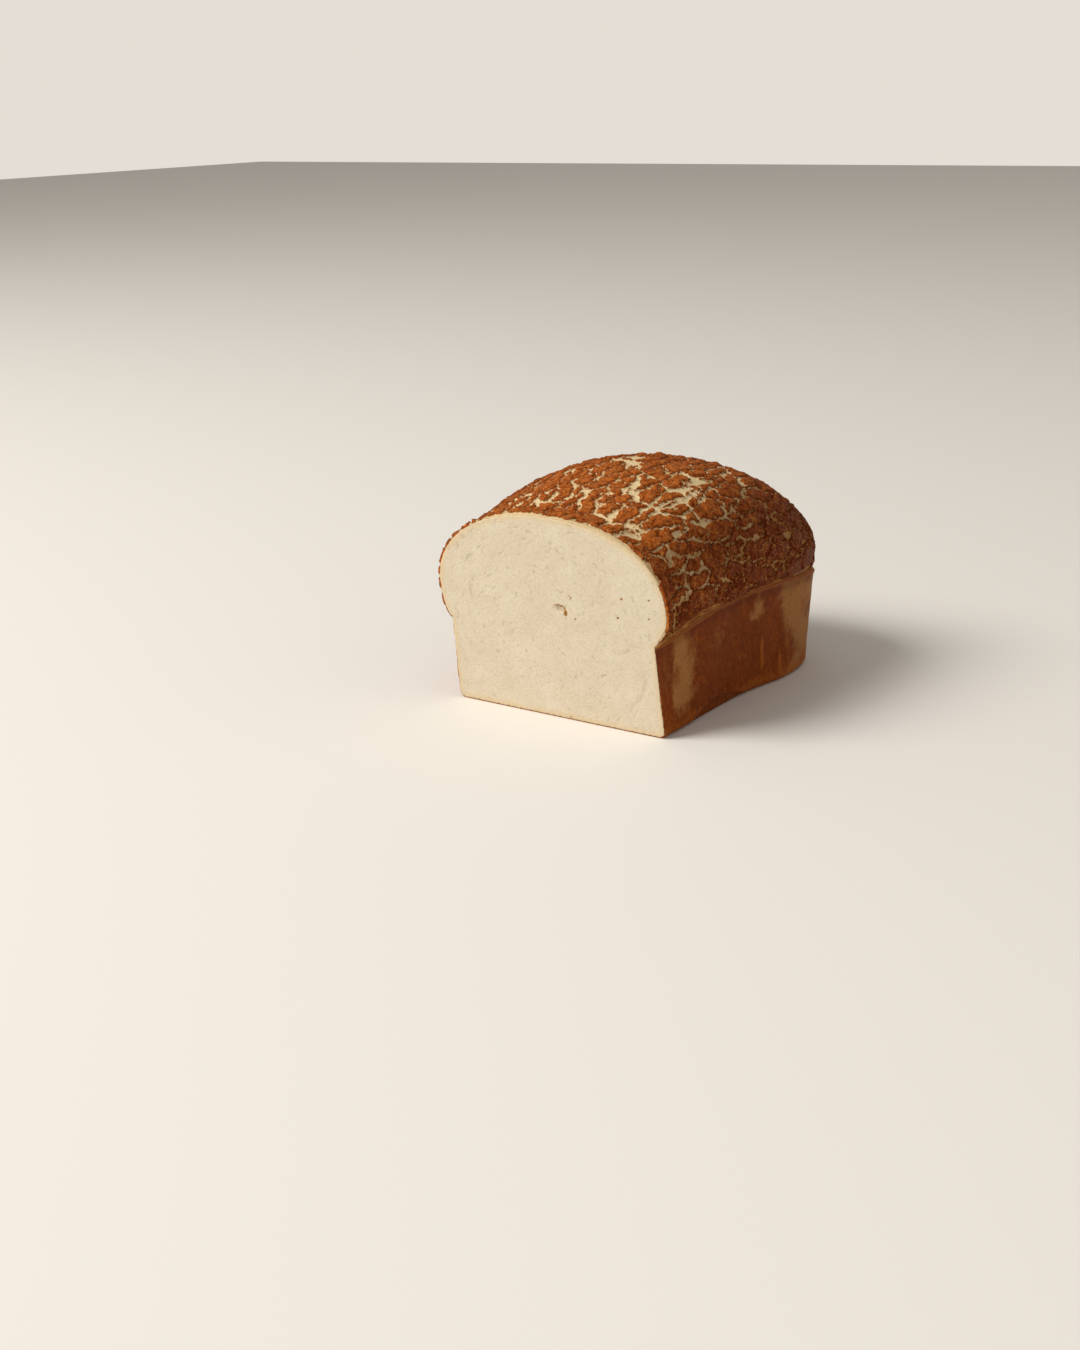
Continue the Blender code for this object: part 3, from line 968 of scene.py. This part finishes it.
def grain_group():
    """A fine grain of a size in mm along the loaf, stretched across it where Across is under 1."""
    group, given, result = new_group("grain", (("Size", 1.0), ("Across", 1.0)), "Value")
    place = add(group, "ShaderNodeTexCoord").outputs["Object"]
    stretch = {"X": given["Across"], "Y": 1.0, "Z": given["Across"]}
    stretch = add(group, "ShaderNodeCombineXYZ", stretch).outputs[0]
    place = add(group, "ShaderNodeVectorMath", {0: place, 1: stretch}, operation="MULTIPLY").outputs[0]
    scale = maths(group, "DIVIDE", 1000.0, given["Size"])
    look = {"Vector": place, "Scale": scale, "Detail": 3.0, "Roughness": 0.65}
    field = add(group, "ShaderNodeTexNoise", look)
    group.links.new(field.outputs["Fac"], result["Value"])
    return group


def craze_group():
    """The distance from a net of fine wandering cracks, whose meshes have a size in mm."""
    group, given, result = new_group("craze", (("Size", 3.0),), "Distance")
    place = add(group, "ShaderNodeTexCoord").outputs["Object"]
    bend = add(group, "ShaderNodeTexNoise", {"Vector": place, "Scale": 420.0, "Detail": 2.0}).outputs["Color"]
    bend = add(group, "ShaderNodeVectorMath", {0: bend, 3: 0.004}, operation="SCALE").outputs[0]
    place = add(group, "ShaderNodeVectorMath", {0: place, 1: bend}, operation="ADD").outputs[0]
    scale = maths(group, "DIVIDE", 1000.0, given["Size"])
    net = add(group, "ShaderNodeTexVoronoi", {"Vector": place, "Scale": scale}, feature="DISTANCE_TO_EDGE")
    group.links.new(net.outputs["Distance"], result["Distance"])
    return group


BLOTCHES = blotches_group()
GRAIN = grain_group()
CRAZE = craze_group()
print("node groups:", ", ".join(group.name for group in (BLOTCHES, GRAIN, CRAZE)))


# %% [markdown]
# ## The crackled finish
# The paste runs from orange-brown, on top and by the cut, to mahogany on the sides, and the dough in
# the tears stays between cream and khaki; this darkening is partly the bake's own colour and partly
# painted shade. A second pattern in the shader could miss the relief's own
# tears. So the mesh says how deep each point lies in its plate, and the shader only roughens that edge
# with grain, finer than any vertex, before it picks a colour.

# %% Crown material
PASTE_GOLDEN = srgb(186, 99, 36)
PASTE_MAHOGANY = srgb(100, 37, 8)
PASTE_PIT_SHADE = srgb(104, 37, 5)
PASTE_BUFF_HIGHLIGHT = srgb(216, 130, 50)
PASTE_RIM_AND_SHADOW = srgb(98, 33, 4)
PASTE_NICKED = srgb(218, 160, 90)
PASTE_CRACKED = srgb(206, 150, 84)
DOUGH_CREAM = srgb(226, 203, 158)
DOUGH_KHAKI = srgb(158, 116, 66)
DOUGH_SCORCHED = srgb(190, 122, 54)
LEDGE_BROWN = srgb(112, 60, 22)
LEDGE_TAN = srgb(164, 110, 56)
LEDGE_PALE = srgb(190, 138, 80)


def use(tree, group, **values):
    """One of the shared groups with its sockets filled, and its only output."""
    return add(tree, "ShaderNodeGroup", values, node_tree=group).outputs[0]


def new_material(name, roughness):
    """A material with a Principled shader, its tree and that shader."""
    material = bpy.data.materials.new(name)
    material.use_nodes = True
    shader = material.node_tree.nodes["Principled BSDF"]
    shader.inputs["Roughness"].default_value = roughness
    return material, material.node_tree, shader


def centred(tree, value, strength, base):
    """A value round 0.5 turned into one round a base, with this strength."""
    return maths(tree, "MULTIPLY_ADD", maths(tree, "SUBTRACT", value, 0.5), strength, base)


def crown_material():
    """Plates of baked paste with pale dough in the tears between them."""
    material, tree, shader = new_material("crackled_crown", 0.6)
    shader.inputs["Specular IOR Level"].default_value = 0.05
    paste, bake_and_shade, shelf = noted(tree, "paste"), noted(tree, "bake_and_shade"), noted(tree, "shelf")
    edge = centred(tree, use(tree, GRAIN, Size=0.9), 1.0, paste)
    on_plate = ramp(tree, edge, -0.12, 0.12)
    rough = use(tree, GRAIN, Size=1.3)
    # The plates darken with the bake value, which is partly the bake's own colour and partly painted shade.
    dark = centred(tree, use(tree, GRAIN, Size=4.0), 2.2, bake_and_shade)
    plate = mix(tree, ramp(tree, dark, -0.3, 1.1), PASTE_GOLDEN, PASTE_MAHOGANY)
    # In step with the bump, the plate is darker where its grain dips and lighter where it rises: grain tone
    # with painted shade in the pits and a painted highlight on the rises.
    plate = mix(tree, ramp(tree, rough, 0.5, 0.32, 0.0, 0.75), plate, PASTE_PIT_SHADE)
    plate = mix(tree, ramp(tree, rough, 0.54, 0.72, 0.0, 0.7), plate, PASTE_BUFF_HIGHLIGHT)
    # Near a tear the plate darkens: partly darker-baked edges, partly painted shadow of the thick plate edge.
    plate = mix(tree, ramp(tree, edge, 1.1, 0.0, 0.0, 0.65), plate, PASTE_RIM_AND_SHADOW)
    nicks = use(tree, BLOTCHES, Size=2.2, Cover=0.24, Softness=0.03)
    nicks = maths(tree, "MULTIPLY", nicks, ramp(tree, bake_and_shade, 0.0, 0.8, 0.5, 0.15))
    plate = mix(tree, nicks, plate, PASTE_NICKED)
    crazed = ramp(tree, use(tree, CRAZE, Size=3.8), 0.06, 0.0)
    crazed = maths(tree, "MULTIPLY", crazed, ramp(tree, use(tree, GRAIN, Size=6.0), 0.44, 0.58, 0.0, 0.5))
    plate = mix(tree, crazed, plate, PASTE_CRACKED)
    fibres = use(tree, GRAIN, Size=0.9, Across=0.22)
    # The dough in the tears darkens with the same value: partly its bake, partly painted shade on the flanks.
    old = centred(tree, fibres, 0.9, centred(tree, use(tree, GRAIN, Size=6.0), 1.0, bake_and_shade))
    dough = mix(tree, ramp(tree, old, 0.1, 1.2), DOUGH_CREAM, DOUGH_KHAKI)
    dough = mix(tree, ramp(tree, edge, -0.9, 0.1, 0.0, 0.55), dough, DOUGH_SCORCHED)
    streaks = use(tree, GRAIN, Size=9.0, Across=3.5)
    ledge = mix(tree, ramp(tree, streaks, 0.38, 0.68), LEDGE_BROWN, LEDGE_TAN)
    ledge = mix(tree, ramp(tree, centred(tree, streaks, 1.0, shelf), 1.0, 1.5), ledge, LEDGE_PALE)
    baked_on = centred(tree, use(tree, GRAIN, Size=5.0), 1.2, shelf)
    dough = mix(tree, ramp(tree, baked_on, 0.1, 0.8, 0.0, 0.95), dough, ledge)
    tree.links.new(mix(tree, on_plate, dough, plate), shader.inputs["Base Color"])
    tree.links.new(ramp(tree, on_plate, 0.0, 1.0, 0.85, 0.5), shader.inputs["Roughness"])
    height = maths(tree, "MULTIPLY_ADD", on_plate, 0.5, rough)
    bump = add(tree, "ShaderNodeBump", {"Height": height, "Strength": 0.8, "Distance": 0.0008})
    tree.links.new(bump.outputs[0], shader.inputs["Normal"])
    return material


# %% [markdown]
# ## The tin-baked finish
# Where the dough lay against the tin it baked to a smooth mahogany with paler, drier patches, a thin
# tan line under the crease and a lighter foot. One flat brown would look like plastic, and painting
# the patches would need a picture. So the mesh carries where they lie, and blotches break their edges.

# %% Wall material
TIN_BROWN = srgb(122, 52, 8)
TIN_CHESTNUT = srgb(150, 72, 16)
TIN_STREAKED = srgb(100, 40, 8)
TIN_CLOUDED = srgb(96, 44, 10)
TIN_GRAINED = srgb(176, 96, 36)
TIN_PALE = srgb(160, 106, 54)
TIN_PALEST = srgb(180, 126, 72)
TIN_TAN = srgb(168, 92, 30)
TIN_SPECKED = srgb(204, 140, 76)
TIN_PAINTED_SHADE = srgb(90, 34, 10)


def wall_material():
    """Smooth tin-baked crust."""
    material, tree, shader = new_material("tin_crust", 0.5)
    shader.inputs["Specular IOR Level"].default_value = 0.07
    fine, mottle = use(tree, GRAIN, Size=1.3), use(tree, GRAIN, Size=4.0)
    streaks = use(tree, BLOTCHES, Size=2.2, Cover=0.45, Softness=0.25, Stretch=0.3)
    brown = mix(tree, ramp(tree, mottle, 0.3, 0.7), TIN_BROWN, TIN_CHESTNUT)
    brown = mix(tree, maths(tree, "MULTIPLY", streaks, 0.6), brown, TIN_STREAKED)
    clouds = use(tree, BLOTCHES, Size=16.0, Cover=0.5, Softness=0.2)
    brown = mix(tree, maths(tree, "MULTIPLY", clouds, 0.4), brown, TIN_CLOUDED)
    brown = mix(tree, ramp(tree, fine, 0.45, 0.75, 0.0, 0.5), brown, TIN_GRAINED)
    pale = ramp(tree, centred(tree, mottle, 1.1, noted(tree, "pale")), 0.1, 0.95, 0.0, 0.9)
    dry = mix(tree, ramp(tree, fine, 0.3, 0.7), TIN_PALE, TIN_PALEST)
    colour = mix(tree, pale, brown, dry)
    tan = ramp(tree, centred(tree, mottle, 1.0, noted(tree, "tan")), 0.2, 1.0, 0.0, 0.85)
    colour = mix(tree, tan, colour, TIN_TAN)
    specks = use(tree, BLOTCHES, Size=1.6, Cover=0.22, Softness=0.04)
    colour = mix(tree, maths(tree, "MULTIPLY", specks, 0.25), colour, TIN_SPECKED)
    # Painted shade: the wall darkens in the hollow under the curled lip and in the crease under the crown's
    # overhang.
    colour = mix(tree, maths(tree, "MULTIPLY", noted(tree, "wall_shade"), 0.5), colour, TIN_PAINTED_SHADE)
    tree.links.new(colour, shader.inputs["Base Color"])
    tree.links.new(ramp(tree, fine, 0.3, 0.7, 0.45, 0.65), shader.inputs["Roughness"])
    bump = add(tree, "ShaderNodeBump", {"Height": fine, "Strength": 0.3, "Distance": 0.0004})
    tree.links.new(bump.outputs[0], shader.inputs["Normal"])
    return material


# %% [markdown]
# ## The crumb's finish
# The crumb is off-white, creamier just under the crust, with tan marks where a fold of the dough or
# a speck of crust was drawn in, and painted shade in its pores and in the hole. Light seeps a little
# way into real crumb, but on a cut this dense and
# matt it hardly shows, so a plain rough surface will do. Its finest pores are too small for vertices,
# so a bump carries them.

# %% Crumb material
CRUMB_WHITE = srgb(222, 210, 188)
CRUMB_CREAM = srgb(215, 201, 177)
CRUMB_BUFF = srgb(220, 194, 148)
CRUMB_DIM = srgb(190, 174, 146)
CRUMB_BRIGHT = srgb(236, 224, 204)
CRUMB_PORE_SHADE = srgb(178, 166, 138)
CRUMB_FOLD_AND_SHADE = srgb(160, 112, 54)
CRUMB_SPECK = srgb(84, 66, 44)


def crumb_material():
    """Soft white bread."""
    material, tree, shader = new_material("crumb", 0.9)
    shader.inputs["Specular IOR Level"].default_value = 0.1
    shade = use(tree, BLOTCHES, Size=16.0, Cover=0.5, Softness=0.25)
    colour = mix(tree, shade, CRUMB_WHITE, CRUMB_CREAM)
    under_crust = centred(tree, use(tree, GRAIN, Size=6.0), 1.2, ramp(tree, noted(tree, "inside"), 6.0, 0.0))
    colour = mix(tree, ramp(tree, under_crust, 0.2, 1.1, 0.0, 0.6), colour, CRUMB_BUFF)
    mottle = use(tree, GRAIN, Size=1.3)
    colour = mix(tree, ramp(tree, mottle, 0.52, 0.30, 0.0, 0.4), colour, CRUMB_DIM)
    colour = mix(tree, ramp(tree, mottle, 0.55, 0.75, 0.0, 0.4), colour, CRUMB_BRIGHT)
    # Painted shade darkens the crumb in its open pores.
    colour = mix(tree, ramp(tree, noted(tree, "pore_shade"), 0.0, 0.6, 0.0, 0.45), colour, CRUMB_PORE_SHADE)
    mark = noted(tree, "stain_and_shade")
    # The tan colour marks folds of the dough, and in the hole it is painted shade.
    colour = mix(tree, ramp(tree, mark, 0.0, 1.0), colour, CRUMB_FOLD_AND_SHADE)
    colour = mix(tree, ramp(tree, mark, 1.0, 1.5), colour, CRUMB_SPECK)
    tree.links.new(colour, shader.inputs["Base Color"])
    texture = use(tree, GRAIN, Size=0.8)
    bump = add(tree, "ShaderNodeBump", {"Height": texture, "Strength": 0.45, "Distance": 0.0005})
    tree.links.new(bump.outputs[0], shader.inputs["Normal"])
    return material


# %% [markdown]
# ## Putting it together
# The floor only needs a plain pale finish. Each piece is built with its own finish.

# %% Floor finish and the three pieces
def floor_material():
    """A plain pale sheet."""
    material, _, shader = new_material("floor", 0.9)
    shader.inputs["Base Color"].default_value = FLOOR_COLOUR
    return material


floor.data.materials.append(floor_material())
build_crown(crown_material())
build_wall(wall_material())
build_crumb(crumb_material())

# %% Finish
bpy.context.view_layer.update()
